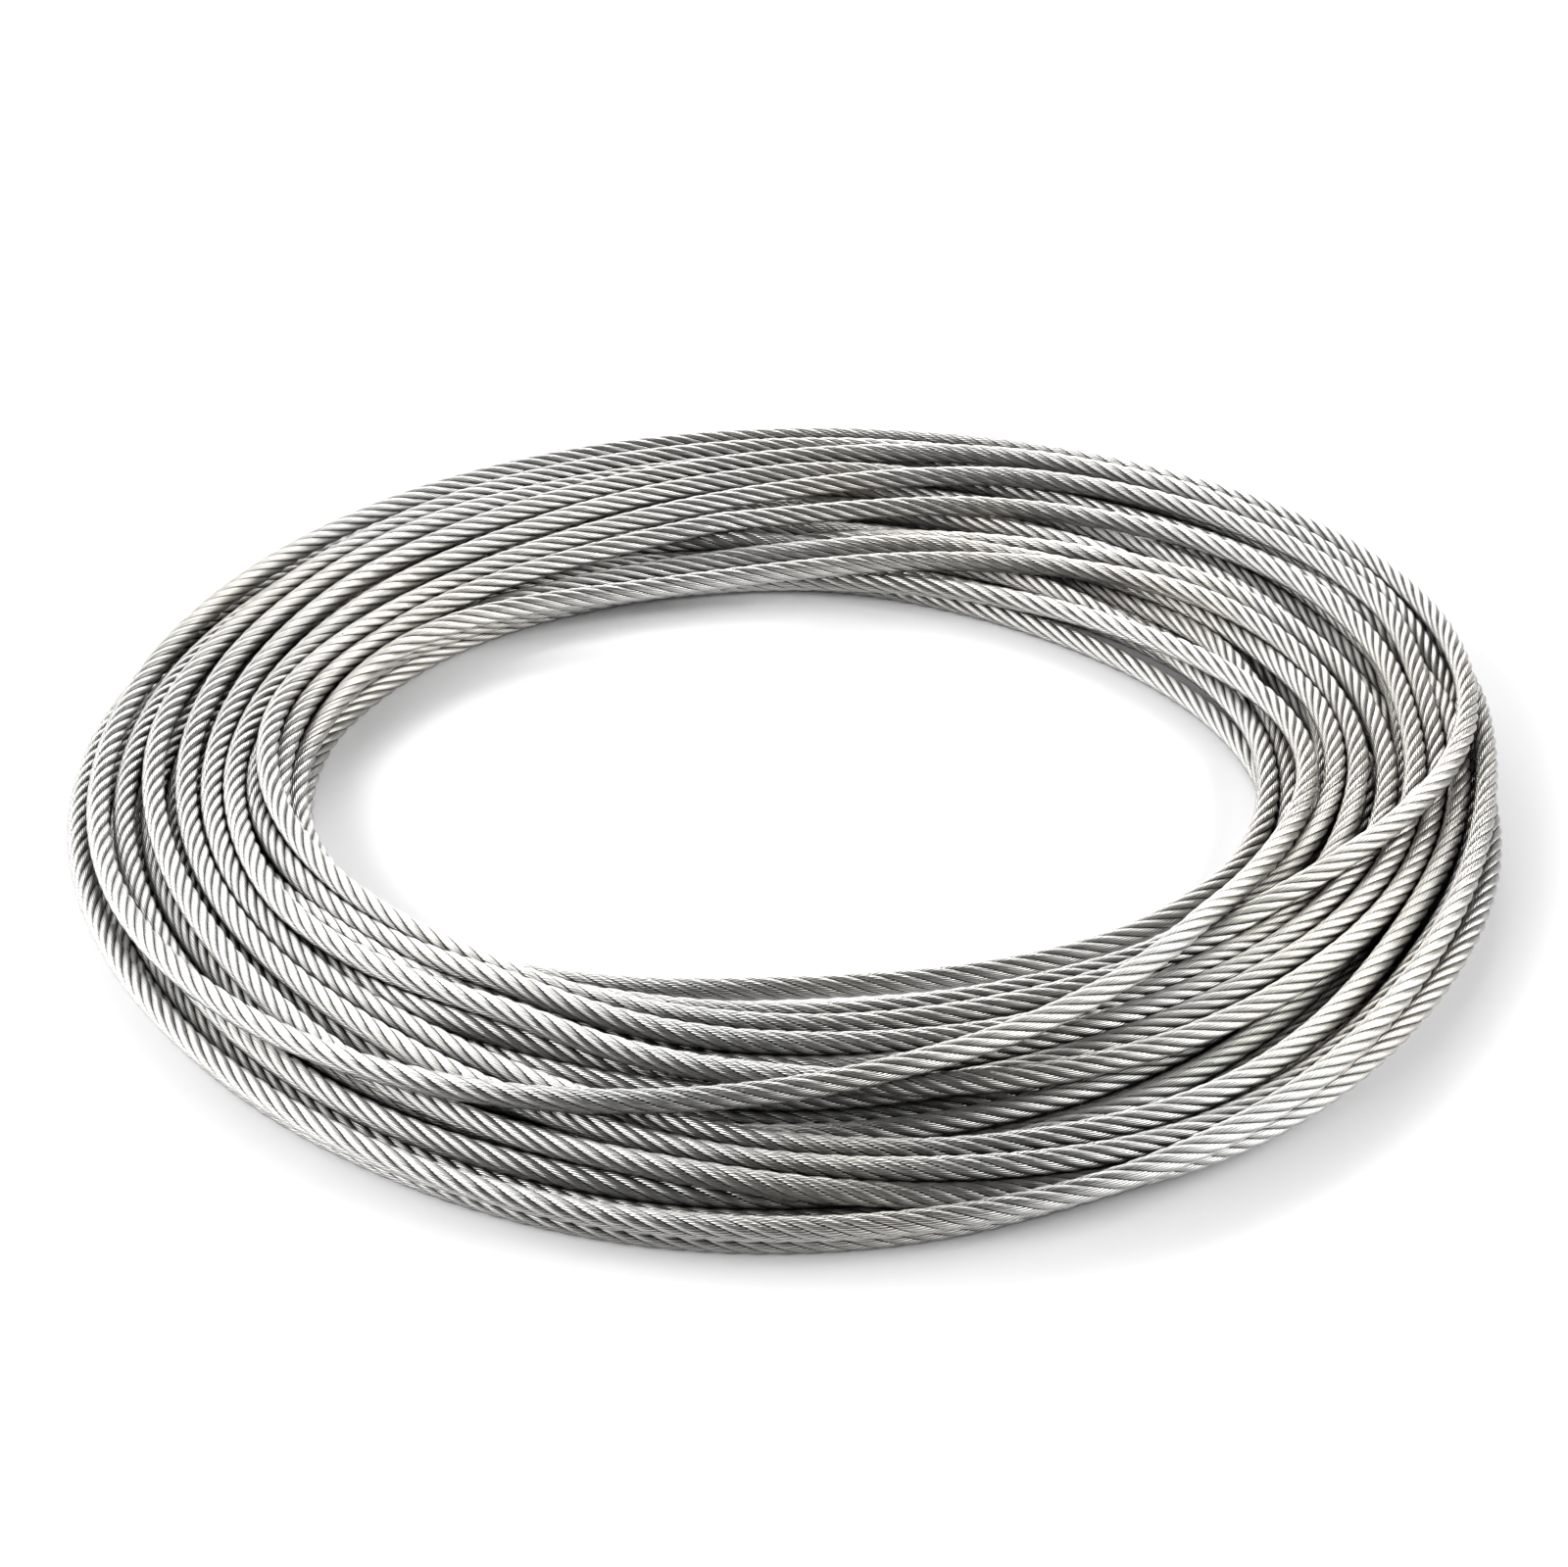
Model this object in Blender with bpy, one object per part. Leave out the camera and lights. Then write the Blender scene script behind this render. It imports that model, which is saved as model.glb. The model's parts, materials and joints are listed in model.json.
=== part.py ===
"""A loosely wound coil of stainless wire rope, lying flat.

Metres, +Z up. The origin is the middle of the coil on the surface that it lies on.
The coil is one ring turned about Z, with an open bore. Its section is the outline of the
bundle of turns: rows of turns that lie in the hollows of the row below.
"""
import math

import bmesh
import bpy
from mathutils import Vector

# The rope and how it is wound
ROPE_DIAMETER = 0.004
BORE_DIAMETER = 0.164
SIDE_GAP = 0.0002
ROW_TURNS = (11, 10, 7, 2)

# How finely the ring is faceted
RING_STEPS = 60
TURN_SIDES = 8
GROOVE_SHARE = 0.4
CORNER_MARGIN = math.radians(14)

# The finish of bright stainless rope
ROPE_COLOUR = (0.58, 0.575, 0.56, 1.0)
ROPE_ROUGHNESS = 0.38
ROPE_METALLIC = 0.9

TURN_SPACING = ROPE_DIAMETER + SIDE_GAP
ROW_RISE = math.sqrt(ROPE_DIAMETER ** 2 - (TURN_SPACING / 2) ** 2)


def clear_scene():
    """Remove whatever the file opened with."""
    for thing in list(bpy.data.objects):
        bpy.data.objects.remove(thing, do_unlink=True)


def row_centres(row):
    """Centres of one row's turns as (radius, height), from the bore outwards."""
    middle = BORE_DIAMETER / 2 + ROPE_DIAMETER / 2 + (ROW_TURNS[0] - 1) * TURN_SPACING / 2
    first = middle - (ROW_TURNS[row] - 1) * TURN_SPACING / 2
    height = ROPE_DIAMETER / 2 + row * ROW_RISE
    return [Vector((first + turn * TURN_SPACING, height)) for turn in range(ROW_TURNS[row])]


def exposed_turns():
    """The turns that show, in order: along the floor, up the outside, over the top, down the bore."""
    rows = [row_centres(row) for row in range(len(ROW_TURNS))]
    outer = []
    inner = []
    for lower, upper in zip(rows, rows[1:]):
        bare = [c for c in lower if c.x > upper[-1].x + TURN_SPACING * 0.25]
        outer.extend(reversed(bare))
        inner.append([c for c in lower if c.x < upper[0].x - TURN_SPACING * 0.25])
    down = [centre for bare in reversed(inner) for centre in reversed(bare)]
    floor = [c for c in rows[0] if c not in outer and c not in down]
    return floor + outer + list(reversed(rows[-1])) + down


def groove(first, second):
    """The bottom of the groove between two neighbouring turns, seen from outside the bundle."""
    along = second - first
    outward = Vector((along.y, -along.x)).normalized()
    return (first + second) / 2 + outward * (GROOVE_SHARE * ROPE_DIAMETER / 2)


def turn_corners(centre, start, end):
    """Corners of one turn's flat-sided section between its two grooves, counter-clockwise."""
    step = 2 * math.pi / TURN_SIDES
    reach = ROPE_DIAMETER / 2 / math.cos(step / 2)
    start_angle = math.atan2(start.y - centre.y, start.x - centre.x)
    end_angle = math.atan2(end.y - centre.y, end.x - centre.x)
    span = (end_angle - start_angle) % (2 * math.pi)
    corners = []
    for side in range(TURN_SIDES):
        turned = ((side + 0.5) * step - start_angle) % (2 * math.pi)
        if CORNER_MARGIN < turned < span - CORNER_MARGIN:
            corners.append((turned, start_angle + turned))
    corners.sort()
    return [centre + Vector((math.cos(a), math.sin(a))) * reach for _, a in corners]


def bundle_outline():
    """The closed outline of the bundle's section, as (radius, height) points."""
    turns = exposed_turns()
    grooves = [groove(turn, turns[(i + 1) % len(turns)]) for i, turn in enumerate(turns)]
    outline = []
    for i, turn in enumerate(turns):
        outline.append(grooves[i - 1])
        outline.extend(turn_corners(turn, grooves[i - 1], grooves[i]))
    return outline


def rope_material():
    """Bright drawn stainless wire."""
    material = bpy.data.materials.new("stainless_rope")
    material.use_nodes = True
    surface = material.node_tree.nodes["Principled BSDF"]
    surface.inputs["Base Color"].default_value = ROPE_COLOUR
    surface.inputs["Roughness"].default_value = ROPE_ROUGHNESS
    surface.inputs["Metallic"].default_value = ROPE_METALLIC
    return material


def make_coil():
    """Turn the bundle's section about Z into one closed ring."""
    mesh = bmesh.new()
    corners = [mesh.verts.new((point.x, 0.0, point.y)) for point in bundle_outline()]
    edges = [mesh.edges.new((corners[i - 1], corner)) for i, corner in enumerate(corners)]
    bmesh.ops.spin(mesh, geom=corners + edges, cent=(0, 0, 0), axis=(0, 0, 1), dvec=(0, 0, 0),
                   angle=2 * math.pi, steps=RING_STEPS, use_merge=True)
    bmesh.ops.remove_doubles(mesh, verts=mesh.verts, dist=1e-6)
    bmesh.ops.recalc_face_normals(mesh, faces=mesh.faces)
    data = bpy.data.meshes.new("wire_rope_coil")
    mesh.to_mesh(data)
    mesh.free()
    data.shade_smooth()
    data.set_sharp_from_angle(angle=math.radians(50))
    coil = bpy.data.objects.new("wire_rope_coil", data)
    coil.data.materials.append(rope_material())
    bpy.context.collection.objects.link(coil)


def main():
    """Build the part."""
    clear_scene()
    make_coil()


main()
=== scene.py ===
"""A loosely wound coil of six-strand stainless wire rope on a pale studio floor.

One rope runs through all the turns. Its winding is worked out in rope diameters: guided turns
follow the crossings that show on top, plain turns fill the rows below, and all of them are
settled on each other. A straight laid rope is then bent along that winding, in a few pieces.
Metres, +Z up, the middle of the coil at the origin.
"""
import json
import math

import bmesh
import bpy
import numpy as np
from bpy.props import FloatProperty, FloatVectorProperty, IntProperty, PointerProperty
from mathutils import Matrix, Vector


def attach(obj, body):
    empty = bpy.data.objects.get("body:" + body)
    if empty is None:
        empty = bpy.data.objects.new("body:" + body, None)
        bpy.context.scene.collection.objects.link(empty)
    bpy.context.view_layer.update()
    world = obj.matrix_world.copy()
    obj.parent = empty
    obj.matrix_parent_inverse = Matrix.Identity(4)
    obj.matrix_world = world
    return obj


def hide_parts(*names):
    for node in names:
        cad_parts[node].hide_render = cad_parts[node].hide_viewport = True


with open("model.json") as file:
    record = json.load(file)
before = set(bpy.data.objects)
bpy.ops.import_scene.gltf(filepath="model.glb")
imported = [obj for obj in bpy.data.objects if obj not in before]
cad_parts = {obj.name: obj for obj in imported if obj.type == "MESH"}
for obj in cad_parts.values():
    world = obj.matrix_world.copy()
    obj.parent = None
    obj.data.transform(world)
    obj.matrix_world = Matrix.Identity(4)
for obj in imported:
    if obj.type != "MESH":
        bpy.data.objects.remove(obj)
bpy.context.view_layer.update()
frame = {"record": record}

bl_info = {
    "name": "Wire rope coil",
    "version": (1, 0, 0),
    "blender": (4, 5, 0),
    "location": "View3D > Sidebar > Wire rope",
    "description": "Winds a coil of laid wire rope and sets it on a studio floor",
    "category": "Object",
}

COIL_NODE = "wire_rope_coil"
STEEL_COLOUR = frame["record"]["materials"][0]["base_color"]

# The winding, in rope diameters. A turn is given at twelve places, clockwise from the right
# hand side: right, front, left, back. Turns run clockwise seen from above. Each is settled at
# closer stations, and the rope starts and ends part way round its first and last turn.
PLACES = 12
STATIONS = 120
GUIDE_BLEND = STATIONS // 8
FIRST_STATION = 30
LAST_STATION = 90

# Edges of the rows that lie lowest
LOW_INNER = (20.8, 21.0, 20.6, 20.0, 20.8, 22.4, 22.3, 20.4, 18.0, 17.9, 17.4, 18.8)
LOW_OUTER = (30.2, 30.4, 31.2, 31.9, 31.4, 30.7, 30.3, 29.7, 29.8, 30.3, 30.9, 31.0)

# Plain turns: how far each lies from the inner to the outer edge
FLOOR_TURNS = tuple(turn / 8 for turn in range(9))
FLOOR_HEIGHT = 0.5
SECOND_TURNS = (0.70, 0.52, 0.34, 0.16)
SECOND_HEIGHT = 1.4

# Guided turns: radius and height of the rope's centre at each place
SINKING_TURN = (
    (29.8, 1.2), (29.9, 1.0), (30.4, 0.8), (30.4, 1.1), (30.4, 1.2), (29.3, 1.8),
    (29.0, 2.2), (28.6, 1.7), (28.2, 1.0), (28.6, 1.0), (29.4, 1.0), (30.4, 1.0))
EYE_TURN = (
    (22.1, 1.0), (21.1, 1.1), (18.2, 1.4), (16.9, 1.4), (18.8, 1.4), (21.9, 1.0),
    (22.0, 1.3), (19.6, 1.9), (15.5, 2.2), (15.4, 2.3), (18.6, 2.4), (23.6, 2.5))
FOURTH_TURN = (
    (25.5, 2.2), (24.6, 2.2), (22.9, 2.0), (22.0, 2.1), (21.8, 2.3), (23.2, 1.9),
    (23.2, 1.3), (21.6, 1.2), (19.4, 1.3), (20.0, 1.4), (21.6, 2.1), (25.4, 2.2))
SHADED_TURN = (
    (26.9, 2.0), (25.7, 2.1), (23.9, 2.1), (22.4, 1.6), (22.5, 1.4), (23.0, 1.2),
    (22.6, 0.7), (20.1, 1.4), (18.0, 1.3), (18.6, 1.4), (20.5, 1.9), (23.6, 1.6))
SECOND_EYE_TURN = (
    (24.6, 2.2), (23.1, 1.9), (20.3, 1.9), (19.5, 2.0), (20.0, 1.9), (22.3, 1.4),
    (22.6, 1.7), (21.0, 2.0), (19.5, 2.3), (20.5, 2.3), (24.9, 2.3), (29.0, 2.3))
INWARD_TURN = (
    (28.2, 2.2), (27.0, 2.2), (24.8, 1.7), (24.4, 1.5), (24.0, 1.4), (23.2, 1.4),
    (22.6, 1.4), (19.8, 1.3), (17.0, 1.3), (16.4, 1.3), (17.2, 1.5), (19.4, 1.9))
CROSSING_TURN = (
    (23.2, 2.6), (22.7, 2.95), (23.6, 3.15), (26.1, 3.2), (29.2, 3.1), (30.4, 2.6),
    (30.1, 2.2), (29.9, 2.1), (30.2, 2.0), (30.5, 2.0), (31.5, 1.9), (33.0, 2.3))
DIVING_TURN = (
    (30.5, 3.2), (24.6, 3.0), (21.2, 1.9), (20.7, 2.1), (20.9, 2.3), (22.2, 2.3),
    (22.7, 2.4), (21.6, 2.4), (21.4, 2.4), (23.7, 2.4), (28.3, 2.4), (30.8, 2.3))
TOP_TURN_1 = (
    (29.3, 1.8), (28.0, 2.2), (26.7, 2.3), (24.3, 2.1), (23.5, 2.3), (24.3, 2.3),
    (24.1, 2.3), (23.4, 2.3), (23.4, 2.2), (26.0, 1.9), (27.8, 1.5), (29.8, 1.4))
TOP_TURN_2 = (
    (29.8, 1.7), (28.9, 2.0), (30.3, 2.2), (28.1, 2.2), (25.4, 2.1), (25.3, 2.3),
    (25.1, 2.4), (25.0, 2.4), (25.3, 2.4), (27.1, 2.4), (30.2, 2.3), (32.0, 2.2))
TOP_TURN_3 = (
    (30.6, 1.4), (30.0, 1.3), (31.5, 1.5), (29.4, 2.1), (26.9, 2.2), (26.5, 2.3),
    (26.5, 2.4), (26.5, 2.3), (26.9, 1.9), (28.6, 1.4), (30.2, 1.4), (31.4, 1.3))
TOP_TURN_4 = (
    (31.0, 0.8), (30.9, 0.9), (31.8, 0.9), (30.2, 1.7), (28.8, 2.0), (27.6, 2.3),
    (28.0, 2.3), (27.8, 2.1), (28.4, 2.0), (29.2, 2.0), (31.0, 1.6), (32.6, 1.5))
OUTER_TURN = (
    (30.8, 2.1), (30.5, 2.2), (32.0, 1.8), (32.3, 1.6), (31.8, 1.5), (31.2, 1.3),
    (30.8, 0.9), (30.0, 0.8), (30.4, 0.6), (30.7, 0.6), (31.2, 0.7), (31.4, 0.8))
GUIDED_TURNS = (
    EYE_TURN, FOURTH_TURN, SHADED_TURN, SECOND_EYE_TURN, INWARD_TURN, CROSSING_TURN,
    DIVING_TURN, TOP_TURN_1, TOP_TURN_2, TOP_TURN_3, TOP_TURN_4, OUTER_TURN)

# How the turns are settled on each other
SETTLE_STEPS = 500
LAST_STEPS = 160
LAST_STIFFENING = 5
WINDING_SEED = 3
PLAIN_WANDER = 0.25
FINE_WANDER = 0.08
WANDER_SPACING = 26
FINE_WANDER_SPACING = 14
WEIGHT = 0.012
BEND_STIFFNESS = 0.06
LIFT_STIFFNESS = 0.045
RADIUS_TENSION = 0.035
HEIGHT_TENSION = 0.1
LAST_EASE = 0.3
CONTACT_ROUNDS = 2
PUSH_SHARE = 0.35

# How strongly a turn is drawn to its given radius and height: plain turns, and what guiding adds
RADIUS_PULL = (0.03, 0.09)
HEIGHT_PULL = (0.008, 0.06)

# Soft boxes round the coil: place and power in watts
SOFT_BOXES = {
    "left_light": ((-1.0, 0.1, 0.5), 9.8),
    "back_left_light": ((-0.7, 0.7, 0.6), 4.2),
    "back_light": ((0.0, 1.0, 0.5), 8.6),
    "right_light": ((1.0, 0.0, 0.45), 10.8),
    "front_right_light": ((0.8, -0.6, 0.5), 3.6),
    "front_left_light": ((-0.8, -0.6, 0.5), 8.6),
}
HAZE = (0.95, 0.95, 0.95, 1.0)
ROOM = (0.02, 0.02, 0.02, 1.0)
HORIZON_BLUR = 0.01

# Strands press on each other, so each is a little fatter than one that only touches the next
STRAND_SWELL = 1.2

# How finely the rope is modelled, and how closely its line's points lie
STRAND_POINTS = 6
LAY_RINGS = 14
ROPE_PIECES = 5
LINE_SPACING = 0.05
LINE_STEPS = 24


class RopeSettings(bpy.types.PropertyGroup):
    """The rope, its make-up and its finish."""
    diameter: FloatProperty(
        name="Rope diameter", description="Across two opposite strands", default=0.004,
        min=0.001, unit="LENGTH")
    strands: IntProperty(
        name="Strands", description="Strands laid round the core", default=6, min=3, max=12)
    lay: FloatProperty(
        name="Lay length", description="Length in which a strand goes once round the rope",
        default=0.024, min=0.004, unit="LENGTH")
    wires: IntProperty(
        name="Outer wires", description="Wires that show round one strand", default=12, min=4)
    wire_lay: FloatProperty(
        name="Wire lay length", description="Length in which a wire goes once round its strand",
        default=0.0096, min=0.001, unit="LENGTH")
    steel: FloatVectorProperty(
        name="Steel", description="Colour of the drawn wire", subtype="COLOR", size=3,
        default=STEEL_COLOUR, min=0, max=1)
    warm_steel: FloatVectorProperty(
        name="Warm steel", description="Colour of the stretches that look slightly yellow",
        subtype="COLOR", size=3, default=(0.60, 0.585, 0.55), min=0, max=1)
    # Painted shade: this near-black colour darkens the hollows between wires, the grooves between
    # strands and the gaps between turns; it also darkens some wires at random
    shade_and_tone_colour: FloatVectorProperty(
        name="Shade and tone", description="Colour of the grease in the hollows between wires",
        subtype="COLOR", size=3, default=(0.02, 0.018, 0.015), min=0, max=1)
    roughness: FloatProperty(
        name="Roughness", description="Roughness of the wires' crowns", default=0.24,
        min=0, max=1, subtype="FACTOR")
    metallic: FloatProperty(
        name="Metallic", description="How metallic the wires are", default=0.95,
        min=0, max=1, subtype="FACTOR")


class StageSettings(bpy.types.PropertyGroup):
    """The floor, the lights and the camera."""
    floor_colour: FloatVectorProperty(
        name="Floor", description="Colour of the studio floor", subtype="COLOR", size=3,
        default=(0.8, 0.8, 0.806), min=0, max=1)
    floor_size: FloatProperty(
        name="Floor size", description="Across the round floor", default=1.8, unit="LENGTH")
    camera_distance: FloatProperty(
        name="Camera distance", description="From the lens to the middle of the coil",
        default=0.6, unit="LENGTH")
    camera_elevation: FloatProperty(
        name="Camera elevation", description="Angle of the view above the floor",
        default=math.radians(33), subtype="ANGLE")
    lens: FloatProperty(
        name="Focal length", description="Lens on a 36 mm wide sensor", default=76.5)
    box_size: FloatProperty(
        name="Soft box size", description="Side of each square soft box", default=0.7,
        unit="LENGTH")
    brightness: FloatProperty(
        name="Brightness", description="Factor on all the soft boxes' powers", default=1.0)


class Socket:
    """A shader socket that can be used in Python expressions."""

    def __init__(self, tree, link):
        self.tree = tree
        self.link = link

    def _math(self, operation, *values):
        return self.tree.node("ShaderNodeMath", {"operation": operation}, dict(enumerate(values)))

    def __add__(self, other):
        return self._math("ADD", self, other)

    def __radd__(self, other):
        return self._math("ADD", other, self)

    def __sub__(self, other):
        return self._math("SUBTRACT", self, other)

    def __rsub__(self, other):
        return self._math("SUBTRACT", other, self)

    def __mul__(self, other):
        return self._math("MULTIPLY", self, other)

    def __pow__(self, other):
        return self._math("POWER", self, other)

    def __abs__(self):
        return self._math("ABSOLUTE", self)

    def fraction(self):
        """The part after the decimal point."""
        return self._math("FRACT", self)


class Shader:
    """A material's node tree, built from the surface backwards."""

    def __init__(self, name):
        self.material = bpy.data.materials.new(name)
        self.material.use_nodes = True
        self.nodes = self.material.node_tree.nodes
        self.links = self.material.node_tree.links
        self.surface = self.nodes["Principled BSDF"]

    def node(self, kind, settings=None, values=None, output=0):
        """Add a node: its settings first, then the values or links of its sockets."""
        made = self.nodes.new(kind)
        for name, value in (settings or {}).items():
            setattr(made, name, value)
        for name, value in (values or {}).items():
            self.feed(made.inputs[name], value)
        return Socket(self, made.outputs[output])

    def feed(self, socket, value):
        """Link a socket or set its value."""
        if isinstance(value, Socket):
            self.links.new(value.link, socket)
        else:
            socket.default_value = value

    def mix(self, factor, first, second):
        """Blend two colours."""
        return self.node("ShaderNodeMix", {"data_type": "RGBA"},
                         {0: factor, 6: first, 7: second}, output=2)

    def ramp(self, value, low, high):
        """0 below low, 1 above high and smooth between."""
        return self.node("ShaderNodeMapRange", {"interpolation_type": "SMOOTHSTEP"},
                         {"Value": value, "From Min": low, "From Max": high})

    def finish(self, **values):
        """Set or link the surface's own sockets."""
        for name, value in values.items():
            self.feed(self.surface.inputs[name.replace("_", " ")], value)
        return self.material


def rgba(colour):
    """A colour property as a socket value."""
    return (*colour, 1.0)


def rope_steel(rope):
    """Drawn stainless wires: round crowns, painted shade in wire hollows, strand grooves and turn
    gaps.
    """
    shade = Shader("stainless_rope")
    along = shade.node("ShaderNodeUVMap", {"uv_map": "rope"})
    split = shade.node("ShaderNodeSeparateXYZ", values={0: along}).link.node
    length = Socket(shade, split.outputs[0])
    round_strand = Socket(shade, split.outputs[1])
    turns_per_diameter = rope.diameter / rope.wire_lay
    wire = (round_strand + length * turns_per_diameter) * rope.wires
    from_crown = abs(wire.fraction() * 2 - 1)
    crown = (1 - from_crown ** 2 * 0.9) ** 0.5
    # Painted shade in the hollows between neighbouring wires
    hollow = shade.ramp(from_crown, 0.62, 1.0)
    # Painted shade in the grooves where the strands meet
    bare = strand_section(rope)[2] / (2 * math.pi)
    valley = shade.ramp(abs(round_strand), bare * 0.8, bare)
    own_tone = shade.node("ShaderNodeTexWhiteNoise", {"noise_dimensions": "1D"},
                          {"W": wire - wire.fraction()})
    place = shade.node("ShaderNodeTexCoord", output=3)
    tone = shade.node("ShaderNodeTexNoise", values={"Vector": place, "Scale": 14.0, "Detail": 2.0})
    rub = shade.node("ShaderNodeTexNoise", values={"Vector": place, "Scale": 900.0, "Detail": 3.0})
    steel = shade.mix(shade.ramp(tone, 0.42, 0.66), rgba(rope.steel), rgba(rope.warm_steel))
    # Painted shade in the gaps between the turns, taken from ambient occlusion within 0.8 rope
    # diameters
    open_side = shade.node("ShaderNodeAmbientOcclusion", {"samples": 2},
                           {"Distance": rope.diameter * 0.8}, output=1)
    gap = shade.ramp(1 - open_side, 0.3, 0.85)
    # Mix towards the near-black colour: painted shade in the wire hollows, strand grooves and gaps
    # between turns, plus each wire's own random tone
    shade_and_tone_amount = hollow * 0.48 + valley * 0.8 + own_tone * 0.18 + gap * 0.66
    colour = shade.mix(shade.node("ShaderNodeClamp", values={0: shade_and_tone_amount}), steel, rgba(rope.shade_and_tone_colour))
    roughness = rope.roughness + rub * 0.12 + hollow * 0.15 + valley * 0.2
    bump = shade.node("ShaderNodeBump", values={
        "Strength": 1.0, "Distance": rope.diameter / 30, "Height": crown + rub * 0.1})
    return shade.finish(Base_Color=colour, Roughness=roughness, Metallic=rope.metallic,
                        Normal=bump)


def pale_floor(stage):
    """A matt studio floor."""
    shade = Shader("studio_floor")
    return shade.finish(Base_Color=rgba(stage.floor_colour), Roughness=0.7,
                        Specular_IOR_Level=0.2)


def plain_turn(share, height):
    """A turn that keeps its share of the way from the inner to the outer edge."""
    return [(inner + (outer - inner) * share, height)
            for inner, outer in zip(LOW_INNER, LOW_OUTER)]


def all_turns():
    """Every turn from the rope's first end to its last, and whether it is guided."""
    turns = [(plain_turn(share, FLOOR_HEIGHT), 0.0) for share in FLOOR_TURNS]
    turns.append((SINKING_TURN, 1.0))
    turns += [(plain_turn(share, SECOND_HEIGHT), 0.0) for share in SECOND_TURNS]
    turns += [(turn, 1.0) for turn in GUIDED_TURNS]
    return turns


def smooth_line(values, where):
    """A smooth curve through evenly spaced values."""
    values = np.asarray(values, float)
    values = np.concatenate([[2 * values[0] - values[1]], values,
                             [2 * values[-1] - values[-2], 3 * values[-1] - 2 * values[-2]]])
    start = np.clip(where.astype(int), 0, len(values) - 4)
    part = where - start
    a, b, c, d = (values[start + step] for step in range(4))
    return b + 0.5 * part * (c - a + part * (2 * a - 5 * b + 4 * c - d
                                             + part * (3 * (b - c) + d - a)))


def wander(rng, count, spacing, size):
    """A smooth random drift along the rope."""
    return smooth_line(rng.normal(0, size, int(count / spacing) + 4), np.arange(count) / spacing)


def stiffen(line, bend, pull):
    """One step towards a line with less bending, as springy rope does."""
    lap = np.zeros_like(line)
    lap[1:-1] = line[:-2] - 2 * line[1:-1] + line[2:]
    bend_force = np.zeros_like(line)
    bend_force[1:-1] = lap[:-2] - 2 * lap[1:-1] + lap[2:]
    line += pull * lap - bend * bend_force


def push_apart(radius, height):
    """Move touching turns apart until their centres are a rope's diameter from each other."""
    across = radius[:, None] - radius[None]
    up = height[:, None] - height[None]
    gap = np.sqrt(across ** 2 + up ** 2) + 1e-9
    overlap = np.clip(1 - gap, 0, None)
    same = np.arange(len(radius))
    overlap[same, same] = 0
    share = PUSH_SHARE * overlap / gap
    radius += (share * across).sum(1)
    height += (share * up).sum(1)
    np.maximum(height, FLOOR_HEIGHT, out=height)


def settle(radius, height, guided):
    """Let the turns find their places: guides, stiffness, weight and contact."""
    aim_radius, aim_height = radius.copy(), height.copy()
    radius_pull = RADIUS_PULL[0] + RADIUS_PULL[1] * guided
    height_pull = HEIGHT_PULL[0] + HEIGHT_PULL[1] * guided
    for step in range(SETTLE_STEPS):
        last = step >= SETTLE_STEPS - LAST_STEPS
        ease = LAST_EASE if last else 1.0
        for _ in range(LAST_STIFFENING if last else 1):
            stiffen(radius, BEND_STIFFNESS, RADIUS_TENSION)
            stiffen(height, LIFT_STIFFNESS, HEIGHT_TENSION)
        height -= WEIGHT * ease
        radius += ease * radius_pull * (aim_radius - radius)
        height += ease * height_pull * (aim_height - height)
        for _ in range(CONTACT_ROUNDS):
            push_apart(radius.reshape(-1, STATIONS), height.reshape(-1, STATIONS))


def wind():
    """The rope's centreline through all its turns, in rope diameters."""
    turns = all_turns()
    count = len(turns) * STATIONS
    where = np.minimum(np.arange(count) / (STATIONS / PLACES), len(turns) * PLACES - 1.001)
    radius = smooth_line([r for turn, _ in turns for r, _ in turn], where)
    height = smooth_line([h for turn, _ in turns for _, h in turn], where)
    guided = np.repeat([mark for _, mark in turns], STATIONS)
    window = np.ones(2 * GUIDE_BLEND) / (2 * GUIDE_BLEND)
    guided = np.convolve(np.pad(guided, GUIDE_BLEND, mode="edge"), window,
                         mode="same")[GUIDE_BLEND:-GUIDE_BLEND]
    rng = np.random.default_rng(WINDING_SEED)
    radius += (1 - guided) * wander(rng, count, WANDER_SPACING, PLAIN_WANDER)
    radius += wander(rng, count, FINE_WANDER_SPACING, FINE_WANDER)
    settle(radius, height, guided)
    kept = slice(FIRST_STATION, count - STATIONS + LAST_STATION)
    angle = -2 * math.pi * np.arange(count)[kept] / STATIONS
    radius, height = radius[kept], height[kept]
    return np.stack([radius * np.cos(angle), radius * np.sin(angle), height], axis=1)


def resample(points, spacing):
    """The same line with closely and evenly spaced points."""
    where = np.linspace(0, len(points) - 1.001, len(points) * LINE_STEPS)
    dense = np.stack([smooth_line(axis, where) for axis in points.T], axis=1)
    reach = np.concatenate([[0], np.cumsum(np.linalg.norm(np.diff(dense, axis=0), axis=1))])
    stations = np.arange(0, reach[-1], spacing)
    return np.stack([np.interp(stations, reach, axis) for axis in dense.T], axis=1)


def strand_section(rope):
    """A strand's radius, its centre's distance from the rope's axis and its half of bare arc."""
    half = math.pi / rope.strands
    radius = rope.diameter / 2 * math.sin(half) / (1 + math.sin(half)) * STRAND_SWELL
    centre = rope.diameter / 2 - radius
    out = centre * math.cos(half) + math.sqrt(radius ** 2 - (centre * math.sin(half)) ** 2)
    return radius, centre, math.atan2(out * math.sin(half), out * math.cos(half) - centre)


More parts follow.
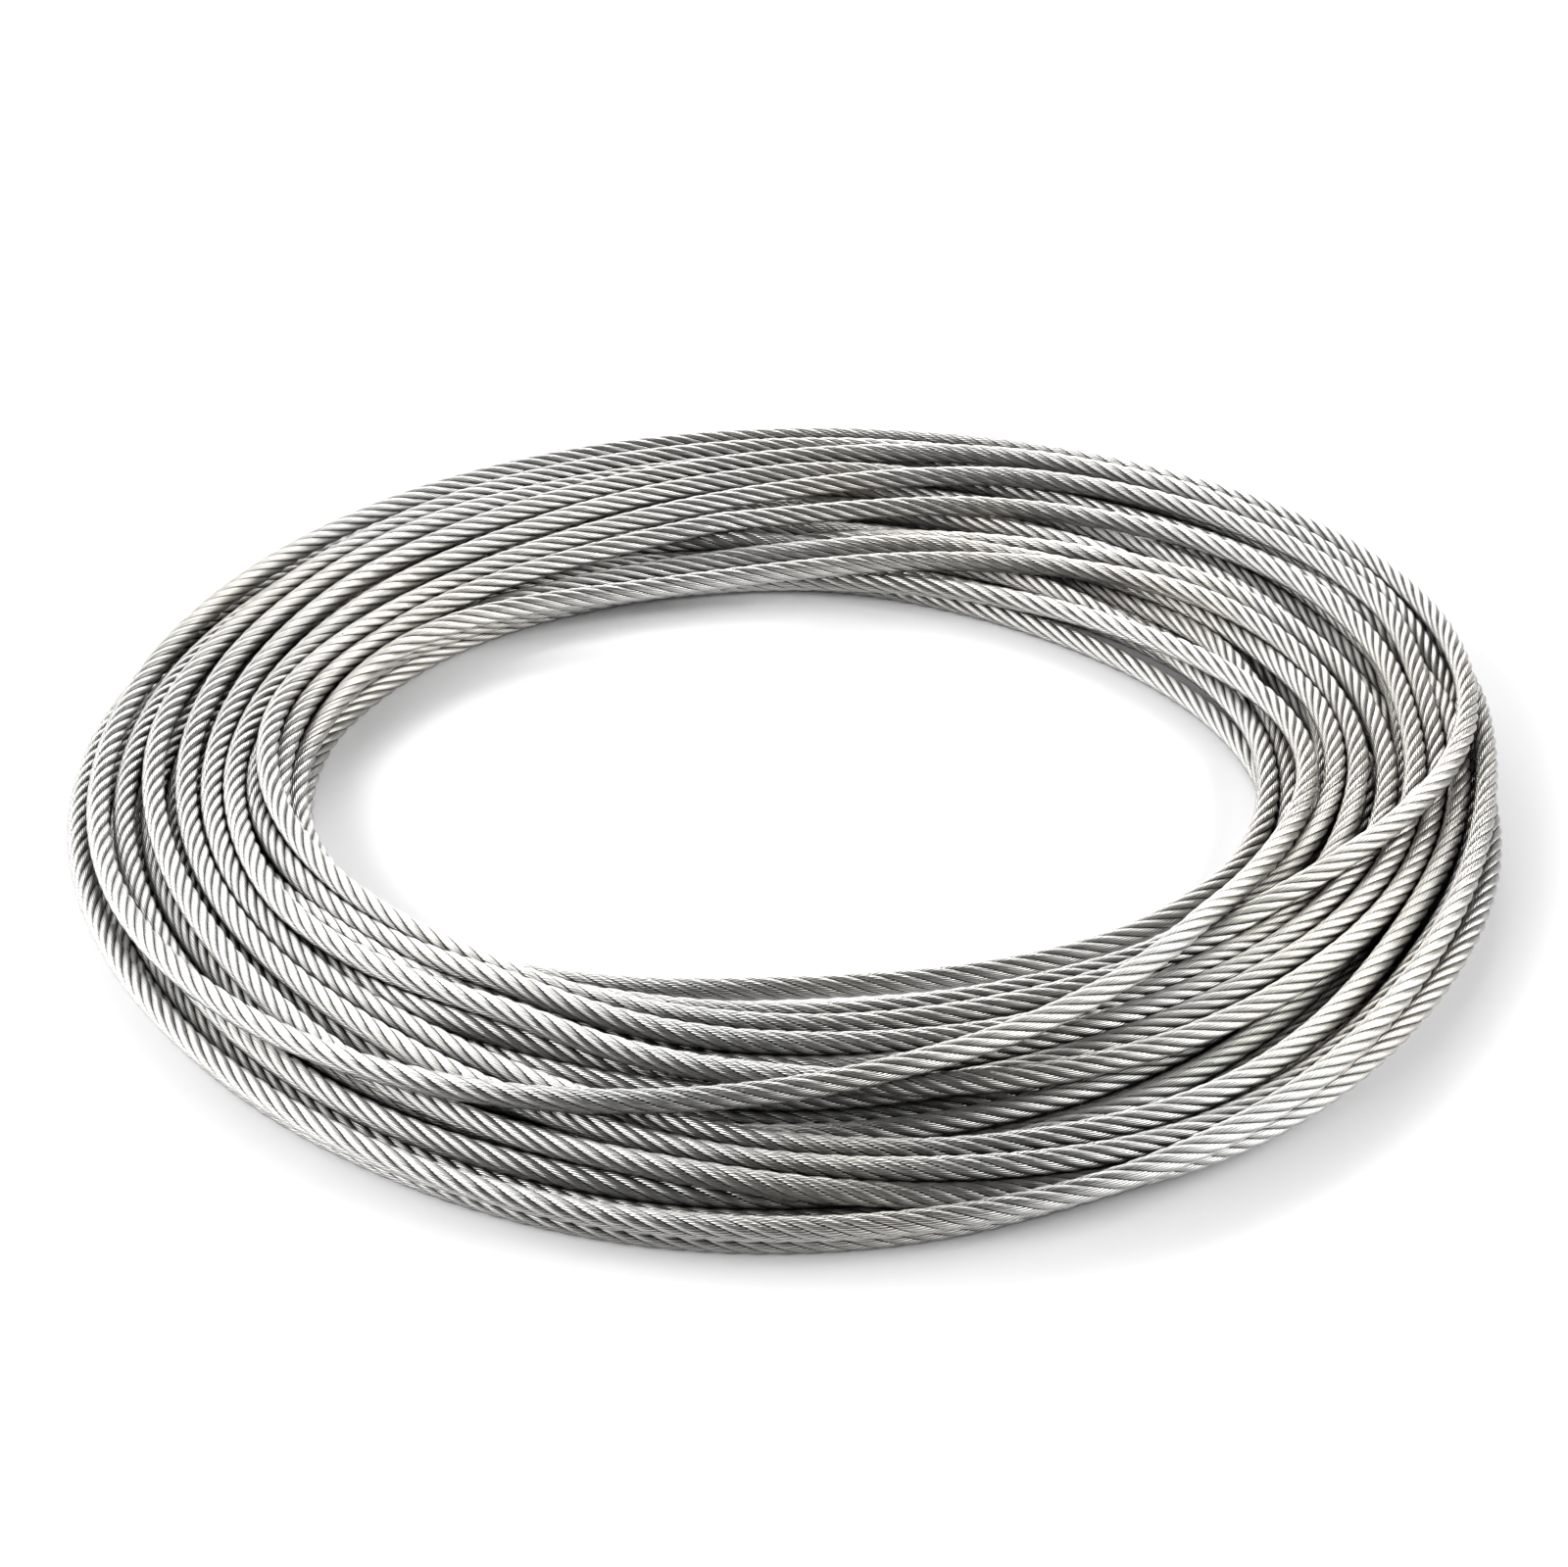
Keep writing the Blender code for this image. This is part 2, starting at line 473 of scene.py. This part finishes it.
def one_lay(rope):
    """A mesh of one lay length of straight rope: its six-lobed section turned along a screw."""
    mesh = bmesh.new()
    points = rope.strands * STRAND_POINTS
    ring = bmesh.ops.create_circle(mesh, segments=points, radius=rope.diameter / 2)["verts"]
    radius, centre, bare = strand_section(rope)
    for index, corner in enumerate(ring):
        strand, step = divmod(index, STRAND_POINTS)
        middle = 2 * math.pi * (strand + 0.5) / rope.strands
        turned = middle + bare * (2 * step / STRAND_POINTS - 1)
        corner.co = Vector((centre * math.cos(middle) + radius * math.cos(turned),
                            centre * math.sin(middle) + radius * math.sin(turned), 0))
    bmesh.ops.spin(mesh, geom=ring + mesh.edges[:], cent=(0, 0, 0), axis=(0, 0, 1),
                   dvec=(0, 0, rope.lay / LAY_RINGS), angle=2 * math.pi, steps=LAY_RINGS,
                   use_duplicate=False)
    bmesh.ops.recalc_face_normals(mesh, faces=mesh.faces)
    data = bpy.data.meshes.new("one_lay")
    mesh.to_mesh(data)
    mesh.free()
    return data


def straight_rope(rope, lays, name):
    """A closed straight rope of so many lay lengths, along Z from the origin."""
    piece = bpy.data.objects.new(name, one_lay(rope))
    bpy.context.collection.objects.link(piece)
    repeat = piece.modifiers.new("lays", "ARRAY")
    repeat.count = lays
    repeat.use_relative_offset = False
    repeat.use_constant_offset = True
    repeat.constant_offset_displace = (0, 0, rope.lay)
    repeat.use_merge_vertices = True
    repeat.merge_threshold = rope.diameter / 200
    shown = piece.evaluated_get(bpy.context.evaluated_depsgraph_get())
    data = bpy.data.meshes.new_from_object(shown)
    piece.modifiers.clear()
    data.name = name
    piece.data = data
    mesh = bmesh.new()
    mesh.from_mesh(data)
    bmesh.ops.holes_fill(mesh, edges=[edge for edge in mesh.edges if edge.is_boundary])
    bmesh.ops.recalc_face_normals(mesh, faces=mesh.faces)
    mesh.to_mesh(data)
    mesh.free()
    return piece


def read(collection, attribute, width):
    """A mesh attribute as an array."""
    values = np.empty(len(collection) * width, dtype=np.float32)
    collection.foreach_get(attribute, values)
    return values.reshape(-1, width).astype(float)


def chart_rope(rope, data):
    """Lay out the rope's UV map: diameters along the rope, and turns round the strand."""
    corners = read(data.vertices, "co", 3)
    middles = read(data.polygons, "center", 3)
    sizes = read(data.polygons, "loop_total", 1)[:, 0].astype(int)
    vertex = read(data.loops, "vertex_index", 1)[:, 0].astype(int)
    face = np.repeat(np.arange(len(sizes)), sizes)
    screw = 2 * math.pi / rope.lay
    sector = 2 * math.pi / rope.strands
    face_angle = np.arctan2(middles[:, 1], middles[:, 0]) - screw * middles[:, 2]
    strand = (np.floor(face_angle / sector) + 0.5) * sector
    at = corners[vertex]
    outward = strand[face] + screw * at[:, 2]
    centre = strand_section(rope)[1] * np.stack([np.cos(outward), np.sin(outward)], axis=1)
    away = at[:, :2] - centre
    turned = np.arctan2(away[:, 1], away[:, 0]) - outward
    turned = (turned + math.pi) % (2 * math.pi) - math.pi
    turned[sizes[face] > 4] = 0
    chart = np.stack([at[:, 2] / rope.diameter, turned / (2 * math.pi)], axis=1)
    layer = data.uv_layers.new(name="rope")
    layer.data.foreach_set("uv", chart.astype(np.float32).ravel())


def bend_rope(data, line, spacing):
    """Bend a straight rope along its line, given by closely spaced points."""
    heading = np.gradient(line, axis=0)
    heading /= np.linalg.norm(heading, axis=1)[:, None]
    side = np.cross((0, 0, 1.0), heading)
    side /= np.linalg.norm(side, axis=1)[:, None]
    above = np.cross(heading, side)
    corners = read(data.vertices, "co", 3)
    where = np.clip(corners[:, 2] / spacing, 0, len(line) - 1.001)
    start = where.astype(int)
    part = (where - start)[:, None]

    def at(values):
        return values[start] * (1 - part) + values[start + 1] * part

    placed = at(line) + corners[:, :1] * at(side) + corners[:, 1:2] * at(above)
    data.vertices.foreach_set("co", placed.astype(np.float32).ravel())
    data.update()


class ROPE_OT_wind_coil(bpy.types.Operator):
    """Wind one laid rope into the coil."""
    bl_idname = "rope.wind_coil"
    bl_label = "Wind coil"

    def execute(self, context):
        rope = context.scene.rope_settings
        steel = rope_steel(rope)
        spacing = rope.diameter * LINE_SPACING
        line = resample(wind(), LINE_SPACING) * rope.diameter
        lays = int((len(line) - 2) * spacing / rope.lay)
        if lays < ROPE_PIECES:
            raise RuntimeError("the winding is too short for the rope's pieces")
        ends = [round(lays * piece / ROPE_PIECES) for piece in range(ROPE_PIECES + 1)]
        for number, (first, last) in enumerate(zip(ends, ends[1:]), start=1):
            name = f"wire_rope_turns_{number:02d}"
            piece = straight_rope(rope, last - first, name)
            chart_rope(rope, piece.data)
            start = round(first * rope.lay / spacing)
            stop = round(last * rope.lay / spacing) + 1
            stretch = line[start:stop]
            bend_rope(piece.data, stretch, spacing)
            piece.data.shade_smooth()
            piece.data.set_sharp_from_angle(angle=math.radians(60))
            piece.data.materials.clear()
            piece.data.materials.append(steel)
            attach(piece, "root")
            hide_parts(COIL_NODE)
        return {"FINISHED"}


def soft_box(name, place, size, power):
    """A square soft light that faces the coil."""
    data = bpy.data.lights.new(name, "AREA")
    data.shape = "SQUARE"
    data.size = size
    data.energy = power
    light = bpy.data.objects.new(name, data)
    light.location = place
    light.rotation_euler = (-Vector(place)).to_track_quat("-Z", "Y").to_euler()
    bpy.context.collection.objects.link(light)


def dim_room(world):
    """A dim room above the horizon, with pale haze beyond the floor's edge."""
    world.use_nodes = True
    tree = world.node_tree
    place = tree.nodes.new("ShaderNodeTexCoord")
    split = tree.nodes.new("ShaderNodeSeparateXYZ")
    ramp = tree.nodes.new("ShaderNodeMapRange")
    ramp.inputs["From Min"].default_value = -HORIZON_BLUR
    ramp.inputs["From Max"].default_value = HORIZON_BLUR
    shade = tree.nodes.new("ShaderNodeMix")
    shade.data_type = "RGBA"
    shade.inputs[6].default_value = HAZE
    shade.inputs[7].default_value = ROOM
    tree.links.new(place.outputs["Generated"], split.inputs[0])
    tree.links.new(split.outputs["Z"], ramp.inputs["Value"])
    tree.links.new(ramp.outputs["Result"], shade.inputs[0])
    tree.links.new(shade.outputs[2], tree.nodes["Background"].inputs["Color"])


class ROPE_OT_set_stage(bpy.types.Operator):
    """Lay the floor, hang the lights and place the camera."""
    bl_idname = "rope.set_stage"
    bl_label = "Set stage"

    def execute(self, context):
        stage = context.scene.stage_settings
        mesh = bmesh.new()
        bmesh.ops.create_circle(mesh, cap_ends=True, segments=96, radius=stage.floor_size / 2)
        data = bpy.data.meshes.new("studio_floor")
        mesh.to_mesh(data)
        mesh.free()
        data.materials.append(pale_floor(stage))
        floor = bpy.data.objects.new("studio_floor", data)
        context.collection.objects.link(floor)

        context.scene.world = bpy.data.worlds.new("studio_room")
        dim_room(context.scene.world)
        for name, (place, power) in SOFT_BOXES.items():
            soft_box(name, place, stage.box_size, power * stage.brightness)

        lens = bpy.data.cameras.new("camera")
        lens.sensor_width = 36
        lens.sensor_fit = "HORIZONTAL"
        lens.lens = stage.lens
        camera = bpy.data.objects.new("camera", lens)
        away = Vector((0, -math.cos(stage.camera_elevation), math.sin(stage.camera_elevation)))
        camera.location = away * stage.camera_distance
        camera.rotation_euler = (-away).to_track_quat("-Z", "Y").to_euler()
        context.collection.objects.link(camera)
        context.scene.camera = camera
        context.scene.view_settings.view_transform = "Standard"
        context.scene.view_settings.look = "Medium High Contrast"
        return {"FINISHED"}


class ROPE_PT_panel(bpy.types.Panel):
    """Wire rope tools in the sidebar."""
    bl_label = "Wire rope coil"
    bl_space_type = "VIEW_3D"
    bl_region_type = "UI"
    bl_category = "Wire rope"

    def draw(self, context):
        for group in (context.scene.rope_settings, context.scene.stage_settings):
            for name in group.bl_rna.properties.keys():
                if name not in {"rna_type", "name"}:
                    self.layout.prop(group, name)
        for operator in (ROPE_OT_wind_coil, ROPE_OT_set_stage):
            self.layout.operator(operator.bl_idname)


CLASSES = (RopeSettings, StageSettings, ROPE_OT_wind_coil, ROPE_OT_set_stage, ROPE_PT_panel)


def register():
    for cls in CLASSES:
        bpy.utils.register_class(cls)
    bpy.types.Scene.rope_settings = PointerProperty(type=RopeSettings)
    bpy.types.Scene.stage_settings = PointerProperty(type=StageSettings)


def unregister():
    del bpy.types.Scene.stage_settings
    del bpy.types.Scene.rope_settings
    for cls in reversed(CLASSES):
        bpy.utils.unregister_class(cls)


def main():
    """Build the coil and its stage."""
    register()
    bpy.ops.rope.set_stage()
    bpy.ops.rope.wind_coil()


if __name__ == "__main__":
    main()
